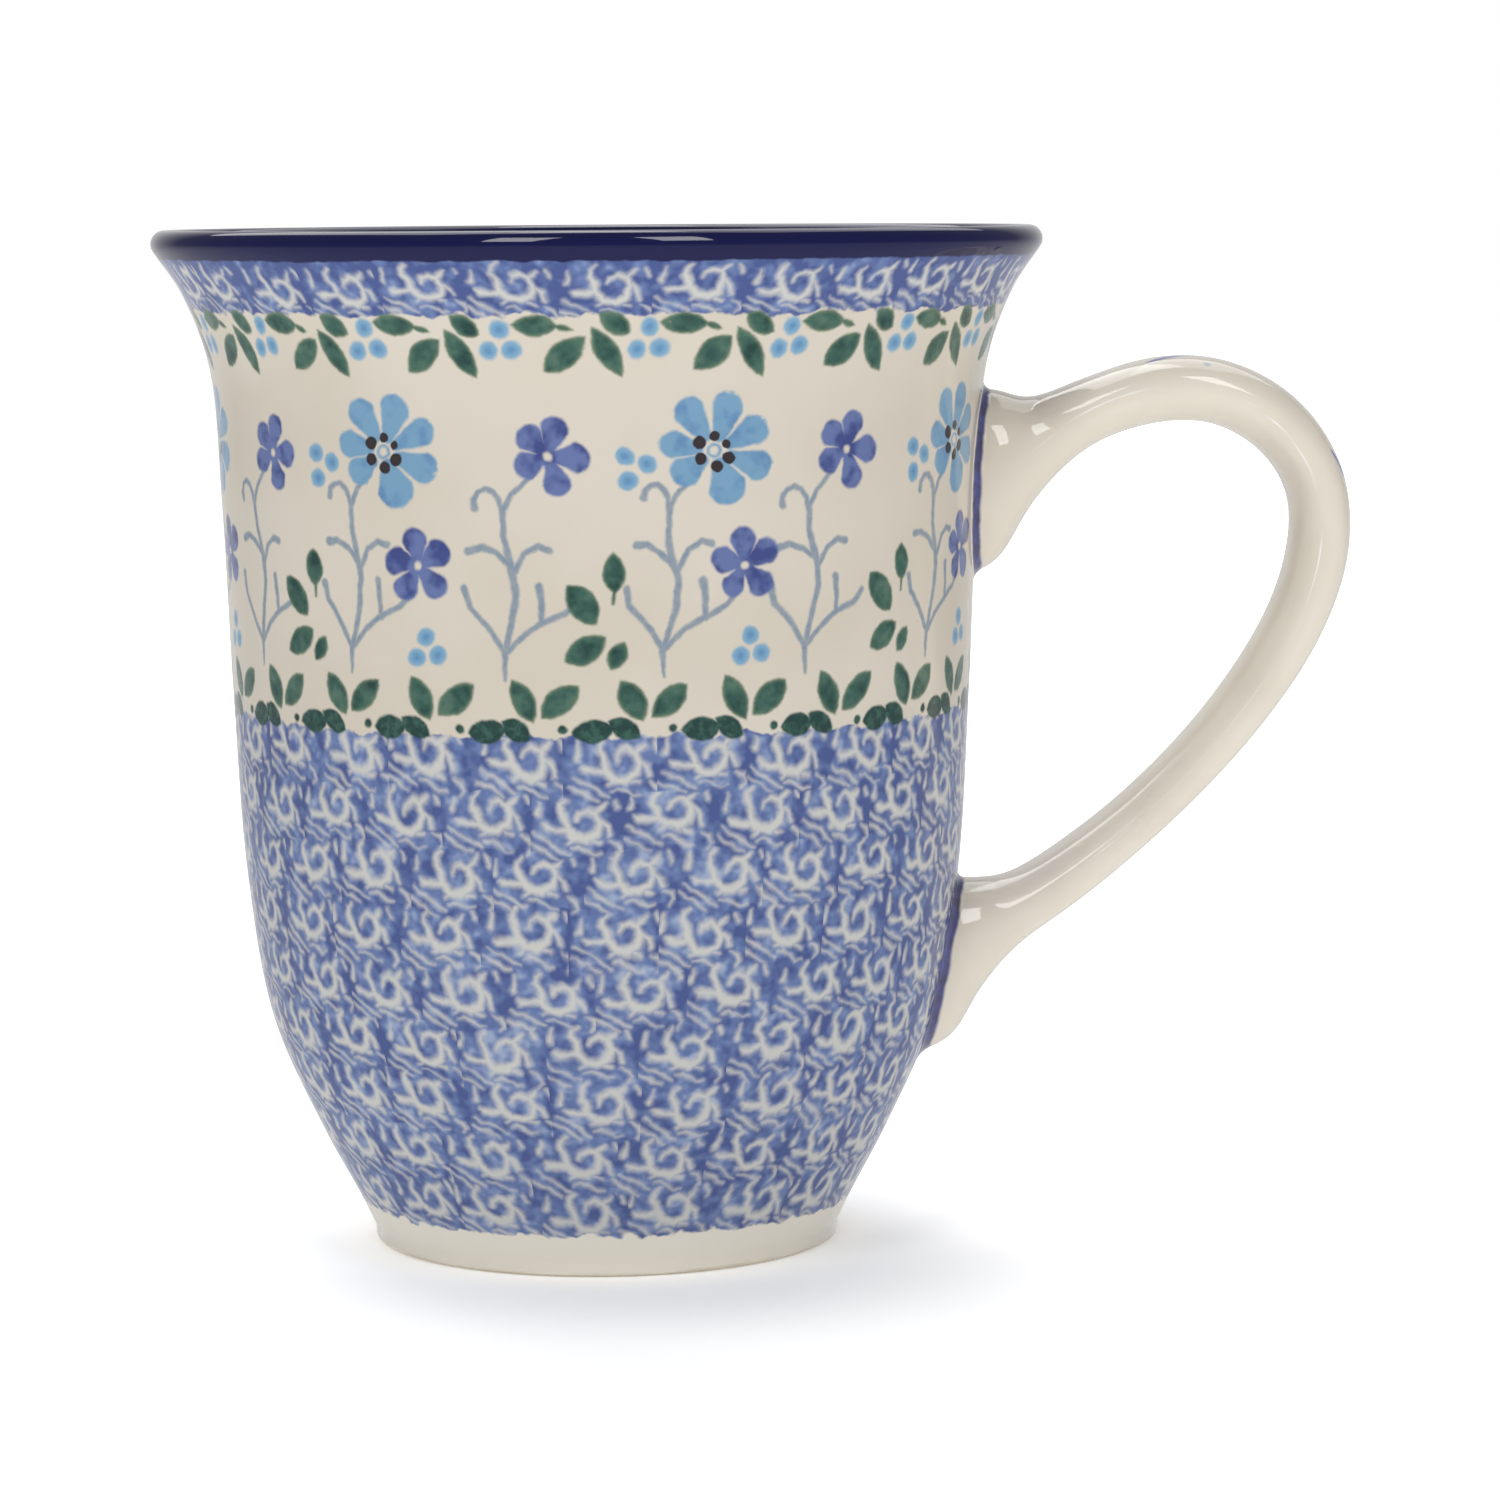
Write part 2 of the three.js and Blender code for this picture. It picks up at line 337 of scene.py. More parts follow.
def tube_faces(rings, sides, closed=False):
    """Faces between one ring of points and the next, and back to the first where closed."""
    faces = []
    for ring in range(rings if closed else rings - 1):
        after = (ring + 1) % rings
        for side in range(sides):
            next_side = (side + 1) % sides
            faces.append((ring * sides + side, after * sides + side,
                          after * sides + next_side, ring * sides + next_side))
    return faces


def make_handle(surface):
    """The pulled handle, trimmed just off the wall and closed behind its pads."""
    distance = wall_distance(surface)
    middle = len(surface) // 2
    crowded = 0.5 - 0.5 * np.cos(np.linspace(0, math.pi, HANDLE_RINGS))
    spread = (1 - END_CROWDING) * np.linspace(0, 1, HANDLE_RINGS) + END_CROWDING * crowded
    columns, places = [], []
    for side in range(HANDLE_SIDES):
        start = line_at(distance[:middle, side], WALL_GAP)
        end = middle + line_at(distance[middle:, side], WALL_GAP)
        places.append(start + (end - start) * spread)
        columns.append(sample(surface[:, side], places[-1]))
    rings = np.stack(columns, 1)
    caps = [rings[0].mean(0), rings[-1].mean(0)]
    points = np.vstack([rings.reshape(-1, 3), caps])
    faces = tube_faces(len(rings), HANDLE_SIDES)
    first, last = len(points) - 2, (len(rings) - 1) * HANDLE_SIDES
    for side in range(HANDLE_SIDES):
        after = (side + 1) % HANDLE_SIDES
        faces.append((first, side, after))
        faces.append((first + 1, last + after, last + side))
    handle = make_mesh("handle_loop", points, faces)
    measure_handle(handle, surface, rings, places)
    return handle


def measure_handle(handle, surface, rings, places):
    """Stores where each point of the handle is along its spine, round its section and off the painted
    highlight line.
    """
    spine = np.concatenate([[0], np.cumsum(np.linalg.norm(np.diff(surface[:, 0], axis=0), axis=1))])
    along = np.interp(np.stack(places, 1), np.arange(len(spine)), spine)
    steps = np.linalg.norm(np.diff(rings, axis=1, append=rings[:, :1]), axis=2)
    girth = steps.sum(1)[:, None]
    around = np.cumsum(steps, axis=1) - steps
    around = np.where(around > girth / 2, around - girth, around)
    highlight_line = HIGHLIGHT_LINE_START + HIGHLIGHT_LINE_SHIFT * smoothstep(*HIGHLIGHT_LINE_SHIFT_OVER, along)
    from_highlight_line = np.abs(np.abs(around) / girth - highlight_line)
    for name, values in (("along_spine", along), ("from_spine", around), ("from_highlight_line", from_highlight_line)):
        attribute = handle.data.attributes.new(name, "FLOAT", "POINT")
        ends = [values[0].mean(), values[-1].mean()]
        attribute.data.foreach_set("value", np.concatenate([values.ravel(), ends]).astype(np.float32))


def make_slip(name, surface, upper):
    """The fillet of slip round a pad: a closed ring that curves from the wall up to the pad."""
    normals = surface_normals(surface)
    distance = wall_distance(surface)
    half = slice(0, len(surface) // 2) if upper else slice(len(surface) // 2, None)
    heights = SLIP_FILLET * (1 - np.cos(np.linspace(0, math.pi / 2, SLIP_STEPS + 1)))
    rings = []
    for height in heights:
        ring = []
        for side in range(HANDLE_SIDES):
            place = np.array(line_at(distance[half, side], height + SLIP_LAP))
            point = sample(surface[half, side], place)
            normal = sample(normals[half, side], place)
            upward = wall_normal(point)
            level = normal - upward * normal.dot(upward)
            level /= np.linalg.norm(level)
            flare = SLIP_FILLET - math.sqrt(max(SLIP_FILLET ** 2 - (SLIP_FILLET - height) ** 2, 0))
            ring.append(point + level * (flare - SLIP_LAP))
        rings.append(ring)
    rings = np.array(rings)
    under = rings[0] - SLIP_UNDER * wall_normal(rings[0])
    inner = np.empty_like(rings[-1])
    for side in range(HANDLE_SIDES):
        place = np.array(line_at(distance[half, side], heights[-1]))
        skin = sample(surface[half, side], place)
        inner[side] = skin - SLIP_INTO_PAD * sample(normals[half, side], place)
    foot = inner - wall_normal(inner) * (wall_distance(inner)[:, None] + SLIP_UNDER)
    loop = np.vstack([under[None], rings, inner[None], foot[None]])
    slip = make_mesh(name, loop.reshape(-1, 3), tube_faces(len(loop), HANDLE_SIDES, closed=True))
    across = slip.data.attributes.new("across_seam", "FLOAT", "POINT")
    levels = np.concatenate([[0], np.linspace(0, 1, len(rings)), [1, 0]])
    across.data.foreach_set("value", np.repeat(levels, HANDLE_SIDES).astype(np.float32))
    return slip


def face_outward(thing):
    """Turns a closed mesh's faces outward, by the sign of the volume they enclose."""
    mesh = thing.data
    mesh.calc_loop_triangles()
    corners = np.array([[mesh.vertices[v].co[:] for v in t.vertices] for t in mesh.loop_triangles])
    volume = np.einsum("ij,ij->i", corners[:, 0], np.cross(corners[:, 1], corners[:, 2])).sum()
    if volume < 0:
        mesh.flip_normals()
    return thing


# ---------------- arithmetic on the surface


class Field:
    """A number or vector that varies over a surface: a node socket with arithmetic."""

    def __init__(self, tree, socket):
        self.tree = tree
        self.socket = socket

    def __add__(self, other):
        return calculate("ADD", self, other)

    def __sub__(self, other):
        return calculate("SUBTRACT", self, other)

    def __rsub__(self, other):
        return calculate("SUBTRACT", other, self)

    def __mul__(self, other):
        return calculate("MULTIPLY", self, other)

    __radd__ = __add__
    __rmul__ = __mul__


def add_node(tree, kind, inputs, **settings):
    """A shader node with its settings made and its inputs set, or linked where they are fields."""
    node = tree.nodes.new("ShaderNode" + kind)
    for name, value in settings.items():
        setattr(node, name, value)
    for name, value in inputs.items():
        if isinstance(value, Field):
            tree.links.new(value.socket, node.inputs[name])
        else:
            node.inputs[name].default_value = value
    return node


def tree_of(terms):
    return next(term.tree for term in terms if isinstance(term, Field))


def calculate(operation, *terms):
    tree = tree_of(terms)
    node = add_node(tree, "Math", dict(enumerate(terms)), operation=operation)
    return Field(tree, node.outputs[0])


def clamp(value):
    """Keeps a value from 0 to 1. A math node's own clamp would use up Cycles' room for values."""
    return Field(value.tree, add_node(value.tree, "Clamp", {"Value": value}).outputs[0])


def vector(operation, *terms, scale=None):
    tree = tree_of((*terms, scale))
    inputs = dict(enumerate(terms))
    if scale is not None:
        inputs["Scale"] = scale
    node = add_node(tree, "VectorMath", inputs, operation=operation)
    scalar = operation in ("DOT_PRODUCT", "LENGTH", "DISTANCE")
    return Field(tree, node.outputs["Value" if scalar else "Vector"])


def ramp(value, low, high):
    """Rises smoothly from 0 at low to 1 at high; low may be the higher number."""
    inputs = {"Value": value, "From Min": low, "From Max": high}
    node = add_node(value.tree, "MapRange", inputs, interpolation_type="SMOOTHSTEP")
    return Field(value.tree, node.outputs["Result"])


def straight(value, low, high, at_low, at_high):
    """Goes evenly from one value at low to another at high, and no further."""
    inputs = {"Value": value, "From Min": low, "From Max": high, "To Min": at_low, "To Max": at_high}
    return Field(value.tree, add_node(value.tree, "MapRange", inputs).outputs["Result"])


def combine(x, y, z=0.0):
    tree = tree_of((x, y, z))
    return Field(tree, add_node(tree, "CombineXYZ", {"X": x, "Y": y, "Z": z}).outputs[0])


def parts(value):
    """A vector's X, Y and Z."""
    return [Field(value.tree, s) for s in add_node(value.tree, "SeparateXYZ", {"Vector": value}).outputs]


def least(*values):
    result = values[0]
    for value in values[1:]:
        result = calculate("MINIMUM", result, value)
    return result


def noise(place, size, detail=2.0, colour=False):
    """Cloudy noise from 0 to 1 with features about that many mm across."""
    inputs = {"Vector": place, "Scale": 1 / size, "Detail": detail}
    node = add_node(place.tree, "TexNoise", inputs)
    return Field(place.tree, node.outputs["Color" if colour else "Fac"])


def chance(cell, seed, colour=False):
    """A number, or three, from 0 to 1 that is the same all over a cell."""
    inputs = {"W": cell + seed}
    node = add_node(cell.tree, "TexWhiteNoise", inputs, noise_dimensions="1D")
    return Field(cell.tree, node.outputs["Color" if colour else "Value"])


def shaken(colour, x, y):
    """A random colour as a shift in mm, with these ranges along and up, centred on none."""
    return vector("MULTIPLY_ADD", colour, (x, y, 0), (-x / 2, -y / 2, 0))


def fold(value, period, start):
    """Which repeat a value falls in, and the value moved to the repeat that begins at start."""
    turns = calculate("MULTIPLY_ADD", value, 1 / period, -start / period)
    inside = calculate("MULTIPLY_ADD", calculate("FRACT", turns), period, start)
    return calculate("FLOOR", turns), inside


# Which of a Mix node's sockets are its factor, its two colours and the mixed colour.
MIX_FACTOR, MIX_UNDER, MIX_OVER, MIX_RESULT = 0, 6, 7, 2


def over(base, colour, cover):
    """Lays a colour over another, where cover is 1."""
    inputs = {MIX_FACTOR: cover, MIX_UNDER: base, MIX_OVER: colour}
    node = add_node(cover.tree, "Mix", inputs, data_type="RGBA")
    return Field(cover.tree, node.outputs[MIX_RESULT])


def shade(value, *stops):
    """A colour that goes through stops of (value, colour)."""
    node = add_node(value.tree, "ValToRGB", {"Fac": value})
    ramp_stops = node.color_ramp.elements
    while len(ramp_stops) < len(stops):
        ramp_stops.new(0.5)
    for stop, (place, colour) in zip(ramp_stops, stops):
        stop.position, stop.color = place, colour
    return Field(value.tree, node.outputs["Color"])


def srgb(red, green, blue):
    """A colour given as 0 to 255 in sRGB, as Blender's linear colour."""
    shares = [c / 255 for c in (red, green, blue)]
    return (*[c / 12.92 if c < 0.04045 else ((c + 0.055) / 1.055) ** 2.4 for c in shares], 1)


# ---------------- brush shapes, as distances in mm


def segment(at, start, end, start_radius, end_radius):
    """Distance to the edge of a straight dab whose radius goes from one value to the other."""
    line = np.subtract(end, start)
    squared = float(line @ line)
    offset = vector("SUBTRACT", at, (*start, 0))
    part = clamp(vector("DOT_PRODUCT", offset, (*(line / squared), 0)))
    along = vector("SCALE", (*line, 0), scale=part)
    far = vector("DISTANCE", offset, along)
    if start_radius == end_radius:
        return far - start_radius
    return calculate("MULTIPLY_ADD", part, start_radius - end_radius, far) - start_radius


def stroke(at, points):
    """Distance to a brush stroke through points given as (x, y, radius)."""
    nearest = None
    for start, end in zip(points, points[1:]):
        distance = segment(at, start[:2], end[:2], start[2], end[2])
        nearest = distance if nearest is None else least(nearest, distance)
    return nearest


def dab(at, x, y, radius):
    return vector("DISTANCE", at, (x, y, 0)) - radius


def leaf(at, tip, base, left, right):
    """Distance to a pointed leaf between two tips that bulges by left and right of its midrib."""
    tip, base = np.array(tip, float), np.array(base, float)
    half = np.linalg.norm(tip - base) / 2
    side = np.array([-(tip - base)[1], (tip - base)[0]]) / (2 * half)
    middle = (tip + base) / 2
    result = None
    for bulge, way in ((left, side), (right, -side)):
        radius = (half ** 2 + bulge ** 2) / (2 * bulge)
        centre = middle - way * (radius - bulge)
        distance = vector("DISTANCE", at, (*centre, 0)) - radius
        result = distance if result is None else calculate("MAXIMUM", result, distance)
    return result


def petals(at, x, y, shapes):
    """Distances to petals round a point, each given as (degrees, inner radius, width, reach, width)."""
    strokes = []
    for degrees, start, start_width, reach, end_width in shapes:
        way = np.array([math.cos(math.radians(degrees)), math.sin(math.radians(degrees))])
        inner, outer = way * start + (x, y), way * (reach - end_width) + (x, y)
        strokes.append(segment(at, inner, outer, start_width, end_width))
    return strokes


# ---------------- colours

CREAM = srgb(219, 211, 197)
CREAM_WARM = srgb(213, 204, 188)
# A lighter cream: on the lower wall it is painted light, as if thrown up from the floor; it also glazes the
# recess under the foot.
CREAM_FOOT_PAINTED_LIGHT = srgb(240, 234, 220)
# The handle's cream is lighter than the cup's: painted light, as the handle stands in more light.
CREAM_HANDLE_PAINTED_LIGHTER = srgb(233, 225, 210)
# A near-white line on each face of the handle: a painted highlight.
PAINTED_HIGHLIGHT_LINE = srgb(248, 246, 240)
SPECK = srgb(146, 124, 102)
SPONGE_FAINT = srgb(205, 205, 201)
SPONGE_PALE = srgb(150, 167, 200)
SPONGE_MIDDLE = srgb(98, 122, 174)
SPONGE_DARK = srgb(55, 78, 142)
STEM_BLUE = srgb(131, 147, 163)
SKY = srgb(113, 159, 192)
SKY_DEEP = srgb(84, 134, 180)
BERRY = srgb(128, 170, 199)
VIOLET = srgb(95, 113, 167)
VIOLET_DEEP = srgb(48, 65, 132)
LEAF_EDGE = srgb(112, 132, 104)
LEAF = srgb(81, 114, 99)
LEAF_MIDDLE = srgb(56, 94, 84)
LEAF_DARK = srgb(28, 64, 60)
BROWN = srgb(52, 44, 48)
COBALT = srgb(19, 21, 70)
COBALT_THIN = srgb(66, 73, 147)
SPINE_BLUE = srgb(112, 120, 194)
CLAY = srgb(206, 190, 162)
CLAY_DARK = srgb(176, 156, 126)

# ---------------- the painted pattern

# Heights are in mm above the table, and distances round the cup in mm from the camera's side.
WIDE = 44  # mm: the radius at which distances round the cup are measured
CUP_ROUND = 2 * math.pi * WIDE
CAMERA_TURNS = 0.75  # the camera's side, in turns from the handle
BAND_SPLIT = 90.0  # between the sponged field below the plants and the band above them

# The sponge stamps stand in rows, with fewer of them in the lower rows of the field.
SPONGE_PITCH = 6.67  # mm from one row to the next
SPONGE_TOP = 64.85
SPONGE_DRIFT = 2.4  # mm: how far a row wanders up and down
STAMPS_IN_FIELD = 26
STAMPS_IN_BAND = 30
FULL_ROWS = 2.0  # rows below the first that lose no stamps
STAMPS_LOST = 0.19  # times the square of how many rows a row is below those
BAND_MIDDLE = 113.9
BAND_SCALE = 1.22  # how many times lower the motif is in the band
STAMP_OFFSET = 0.06  # of a stamp's width: how far the curl stands off its middle
STAMP_JITTER = (1.3, 0.6)  # mm: the ranges along and up that a stamp is off its place
STAMP_RAGGED = 0.8  # mm of raggedness in the strokes
STAMP_OVERLAP = 1.6  # mm at each side of a stamp where it is pressed over the next
FIELD_BOTTOM = (3.9, 2.4)  # lowest place of each hem, and how far it wanders above that
FIELD_TOP = (62.9, 2.6)
BAND_BOTTOM = (109.6, 2.2)
# The stamp leaves the blue off along these strokes, as (x, y, radius) from its middle. Its waves
# run over the border of the row below.
SPONGE_MOTIF = [
    [(-0.5, 0.6, 0.24), (-0.22, 1.3, 0.34), (0.66, 1.72, 0.42), (1.6, 1.3, 0.48), (1.95, 0.2, 0.46),
     (1.56, -1.04, 0.52), (0.4, -1.66, 0.6), (-0.9, -1.46, 0.58), (-1.7, -0.5, 0.52)],
    [(-1.7, -0.5, 0.52), (-2.0, 0.8, 0.46), (-2.44, 1.45, 0.42), (-2.35, 2.25, 0.32),
     (-1.8, 2.8, 0.26)],
    [(-1.7, -0.5, 0.52), (-2.9, -0.66, 0.42), (-3.95, -0.5, 0.5), (-4.35, -0.25, 0.28)],
    [(1.5, 1.36, 0.42), (2.2, 1.86, 0.38), (2.55, 2.25, 0.22)],
    [(1.95, 0.6, 0.3), (2.8, -0.2, 0.34), (3.1, -1.2, 0.28)],
    [(1.2, -1.9, 0.3), (1.95, -2.1, 0.24)],
    [(-0.9, -1.7, 0.36), (-1.5, -2.1, 0.22)],
    [(-4.75, 2.3, 0.14), (-4.75, 1.6, 0.24), (-4.95, 0.85, 0.38)],
    [(3.7, 2.4, 0.2), (4.0, 1.7, 0.24)],
]
SPONGE_WAVES = [
    [(-5.3, -1.2, 0.22), (-4.5, -1.85, 0.28), (-3.7, -2.1, 0.3), (-2.9, -2.6, 0.28),
     (-2.2, -3.2, 0.26), (-1.5, -3.5, 0.2)],
    [(-5.8, -2.3, 0.22), (-5.0, -2.8, 0.28), (-4.1, -3.15, 0.3), (-3.4, -3.75, 0.26),
     (-2.7, -4.05, 0.2)],
    [(-1.1, -2.8, 0.2), (-0.3, -2.65, 0.28), (0.6, -3.1, 0.28), (1.3, -3.6, 0.24),
     (2.1, -3.5, 0.18)],
    [(3.2, -2.0, 0.2), (4.0, -2.45, 0.36), (4.35, -3.2, 0.28), (3.8, -3.9, 0.2)],
]

# Two plants repeat round the cup, and they are given here for one repeat.
PLANT_PERIOD = 37.2
PLANT_START = -16.65
SECOND_START = -20.0
SECOND_SLIP = 1.9  # mm: how far a repeat of the second plant slips either way
SLIP_RATE, SLIP_PHASE = -2.25, 0.36  # radians for each repeat, and at repeat 0
PLANT_FIRST, PLANT_LAST = -5, 1  # the repeats that are painted; none is behind the handle
# Stems as (x, height, radius), petals as (degrees, start, half width, reach, half width at the end).
FIRST_STEMS = [
    [(6.8, 70.9, 0.2), (6.8, 73.6, 0.42), (7.3, 75.2, 0.38), (8.3, 78.5, 0.4), (8.6, 81.5, 0.42),
     (8.0, 84.0, 0.45), (7.6, 86.5, 0.36), (7.6, 89.5, 0.38), (8.6, 91.3, 0.3), (10.6, 93.1, 0.32)],
    [(7.6, 88.9, 0.36), (7.4, 90.4, 0.34), (6.9, 91.4, 0.34), (6.1, 92.0, 0.34), (5.3, 91.9, 0.34),
     (4.7, 91.3, 0.36), (4.6, 90.4, 0.42)],
    [(8.1, 83.2, 0.4), (6.7, 84.7, 0.36), (5.2, 85.5, 0.4), (4.1, 85.4, 0.5)],
    [(8.6, 82.6, 0.34), (9.8, 84.8, 0.32), (11.2, 85.7, 0.36), (12.3, 85.4, 0.44)],
    [(6.7, 74.0, 0.38), (5.0, 76.7, 0.34), (3.3, 78.7, 0.36), (2.9, 80.6, 0.42)],
    [(6.8, 73.6, 0.38), (9.0, 75.9, 0.34), (11.4, 77.4, 0.36), (14.0, 78.5, 0.36), (15.3, 79.8, 0.36)],
    [(11.5, 77.3, 0.34), (11.4, 79.2, 0.36), (11.1, 81.4, 0.44)],
]
SECOND_STEMS = [
    [(-11.5, 70.5, 0.2), (-11.4, 73.3, 0.42), (-10.7, 76.4, 0.4), (-10.0, 80.0, 0.42),
     (-10.3, 83.4, 0.45), (-11.2, 86.5, 0.38), (-11.4, 89.2, 0.38), (-10.4, 91.0, 0.32), (-8.0, 93.4, 0.32)],
    [(-11.4, 88.8, 0.36), (-11.8, 90.3, 0.34), (-12.5, 91.3, 0.34), (-13.4, 91.7, 0.34), (-14.3, 91.3, 0.34),
     (-14.8, 90.4, 0.36), (-14.7, 89.5, 0.44)],
    [(-10.4, 83.3, 0.4), (-11.9, 84.6, 0.36), (-13.7, 85.2, 0.42), (-15.3, 84.8, 0.5)],
    [(-10.0, 82.4, 0.34), (-8.8, 84.4, 0.34), (-7.3, 85.2, 0.38), (-6.2, 84.9, 0.46)],
    [(-11.5, 73.6, 0.38), (-13.4, 76.2, 0.34), (-15.4, 78.4, 0.36), (-16.0, 80.6, 0.5)],
    [(-11.3, 73.4, 0.38), (-9.1, 75.6, 0.34), (-7.1, 77.0, 0.36), (-4.5, 78.0, 0.36), (-3.2, 79.4, 0.36)],
    [(-7.1, 76.9, 0.34), (-7.2, 79.0, 0.38), (-7.5, 81.0, 0.46)],
]
BIG_FLOWER = (12.5, 95.7)
BIG_PETALS = [
    (73, 1.9, 0.9, 6.8, 1.9), (27, 2.0, 0.8, 6.8, 1.75), (-19, 2.0, 0.8, 6.9, 1.75),
    (-71, 1.9, 1.1, 6.5, 2.3), (-145, 1.9, 0.9, 5.7, 1.75), (170, 2.0, 0.8, 6.1, 1.65),
    (123, 2.1, 0.85, 6.8, 1.75),
]
BIG_REACH = 6.8
BIG_RING_RADIUS = 0.68
BIG_RING_WIDTH = 0.22
# Brown dots round the big flower's middle, as (degrees, distance, radius).
BIG_DOTS = [
    (150, 1.95, 0.76), (90, 1.65, 0.58), (30, 1.6, 0.5), (-27, 1.8, 0.74), (-84, 1.78, 0.68),
    (207, 1.8, 0.7),
]
FLOWER_A = (16.2, 83.0)
PETALS_A = [
    (96, 1.1, 0.9, 4.4, 1.65), (32, 1.2, 0.9, 4.6, 1.65), (-46, 1.2, 0.9, 4.5, 1.65),
    (-122, 1.2, 0.85, 4.2, 1.55), (167, 1.2, 0.9, 4.2, 1.6),
]
FLOWER_B = (-6.3, 95.2)
PETALS_B = [
    (76, 1.2, 0.85, 4.5, 1.6), (0, 1.2, 0.85, 4.5, 1.65), (-74, 1.2, 0.85, 4.5, 1.6),
    (203, 1.1, 0.8, 4.1, 1.55), (136, 1.1, 0.85, 4.3, 1.6),
]
EYE_RADIUS = 0.42
HEART_RADIUS = 1.2
BERRY_RADIUS = 1.12
BERRIES = [(16.9, 75.0), (15.8, 72.7), (18.3, 72.9), (2.8, 95.2), (5.1, 94.3), (2.9, 92.4)]
# Leaves as (tip, base, bulge, bulge).
CLUSTER = [
    ((1.5, 84.5), (1.5, 80.1), 1.35, 1.3), ((-3.9, 81.1), (-0.3, 76.7), 1.55, 1.75),
    ((-4.0, 72.6), (0.6, 75.3), 1.6, 1.4), ((2.7, 74.7), (0.9, 71.8), 1.0, 1.0),
]
CLUSTER_STALK = [(1.4, 79.0, 0.16), (1.5, 80.6, 0.28)]

# The garlands above and below the plants.
UPPER_PERIOD, UPPER_START, UPPER_BERRY_START = CUP_ROUND / 18, -9.3, -5.0
UPPER_LEAVES = [
    ((-9.0, 109.9), (-3.9, 109.6), 1.25, 1.2), ((-4.5, 109.7), (-2.5, 109.0), 0.42, 0.38),
    ((-1.5, 108.2), (-5.6, 104.6), 1.45, 1.5), ((0.0, 110.9), (3.0, 108.8), 1.3, 1.05),
    ((-0.9, 109.3), (2.4, 103.9), 1.25, 1.25),
]
UPPER_BERRIES = [(5.2, 109.4), (3.9, 107.0), (6.4, 107.1)]
LOWER_PERIOD, LOWER_START, LOWER_BUD_START = CUP_ROUND / 23, -0.6, -5.2
LOWER_LEAVES = [((1.9, 70.6), (4.3, 65.7), 1.35, 1.5), ((9.4, 69.9), (5.2, 66.2), 1.5, 1.5)]
LOWER_BUDS = [((-3.4, 64.6), (1.2, 65.0), 1.4, 1.35), ((0.5, 66.0), (4.0, 63.9), 1.2, 1.2)]
LOWER_DOT = (-4.3, 64.9, 0.5)

# In mm, from the first place to the second: where the lower wall turns to a lighter cream that is painted
# light, and where one finish gives way to the next.
FOOT_PAINTED_LIGHT_RISE = (9.0, 4.0)
RIM_OUTSIDE = (116.9, 117.15)
RIM_INSIDE = (115.4, 115.9)
CLAY_RADIUS = (20.6, 21.2)
CLAY_TOP = (0.3, 0.1)

GLAZE_IOR = 1.5
GLAZE_ROUGHNESS = 0.04
HANDLE_ROUGHNESS = 0.03
CLAY_ROUGHNESS = 0.45


def in_millimetres(tree):
    coords = Field(tree, tree.nodes.new("ShaderNodeTexCoord").outputs["Object"])
    return vector("SCALE", coords, scale=1 / MM)


def painted_surface(tree):
    """Fields for a point on the cup: its place in mm, height, angle from the handle in turns, radius."""
    place = in_millimetres(tree)
    x, y, z = parts(place)
    around = calculate("ARCTAN2", calculate("MULTIPLY", y, -1.0), calculate("MULTIPLY", x, -1.0))
    turns = calculate("MULTIPLY_ADD", around, 1 / (2 * math.pi), 0.5)
    radius = vector("LENGTH", combine(x, y))
    return place, z, turns, radius


def stamp_cell(row, height, in_band, turns, radius):
    """A point's place from the middle of its curl in that row, and its distance to the stamp's sides."""
    narrowing = calculate("MAXIMUM", row - FULL_ROWS, 0.0)
    fewer = calculate("ROUND", narrowing * narrowing * STAMPS_LOST)
    in_row = STAMPS_IN_FIELD - fewer * (1.0 - in_band)
    count = calculate("MULTIPLY_ADD", in_band, STAMPS_IN_BAND - STAMPS_IN_FIELD, in_row)
    row_middle = calculate("MULTIPLY_ADD", row, -SPONGE_PITCH, SPONGE_TOP - SPONGE_PITCH / 2)
    field_v = height - row_middle
    v = field_v + in_band * ((height - BAND_MIDDLE) * BAND_SCALE - field_v)
    cells = calculate("MULTIPLY_ADD", turns, count, chance(row, 4.3))
    width = radius * (2 * math.pi) * calculate("DIVIDE", 1.0, count)
    u = (calculate("FRACT", cells) - (0.5 + STAMP_OFFSET)) * width
    name = calculate("MULTIPLY_ADD", row, 41.0, calculate("FLOOR", cells))
    jitter = shaken(chance(name, 0.5, colour=True), *STAMP_JITTER)
    side = calculate("ABSOLUTE", u + STAMP_OFFSET * width)
    return vector("ADD", combine(u, v), jitter), calculate("MULTIPLY_ADD", side, -1.0, 0.5 * width)


def sponge(place, z, turns, radius):
    """The stamped sponge pattern: how much blue there is, and where two stamps overlap."""
    _, drift, _ = parts(shaken(noise(place, 7.0, 1.0, colour=True), 0, SPONGE_DRIFT))
    height = z + drift
    in_band = calculate("GREATER_THAN", z, BAND_SPLIT)
    rows_down = calculate("MULTIPLY_ADD", height, -1 / SPONGE_PITCH, SPONGE_TOP / SPONGE_PITCH)
    own_row = calculate("FLOOR", rows_down) * (1.0 - in_band)
    row_above = (calculate("ROUND", rows_down) - 1.0) * (1.0 - in_band)
    ragged = shaken(noise(place, 1.6, 2.0, colour=True), STAMP_RAGGED, STAMP_RAGGED)
    at, side_edge = stamp_cell(own_row, height, in_band, turns, radius)
    at = vector("ADD", at, ragged)
    curl = least(*[stroke(at, points) for points in SPONGE_MOTIF])
    at, _ = stamp_cell(row_above, height, in_band, turns, radius)
    at = vector("ADD", at, ragged)
    waves = least(*[stroke(at, points) for points in SPONGE_WAVES])
    resist = least(curl, waves + 0.1) + in_band * 0.06
    softness = calculate("MULTIPLY_ADD", noise(place, 2.4, 1.0), -0.5, resist)
    return ramp(softness, -0.76, 0.20), ramp(side_edge, STAMP_OVERLAP, 0.0)


def hem_line(wander, lowest, reach):
    """The height of a hem that wanders up to that far above its lowest place."""
    return calculate("MULTIPLY_ADD", wander, reach, lowest)


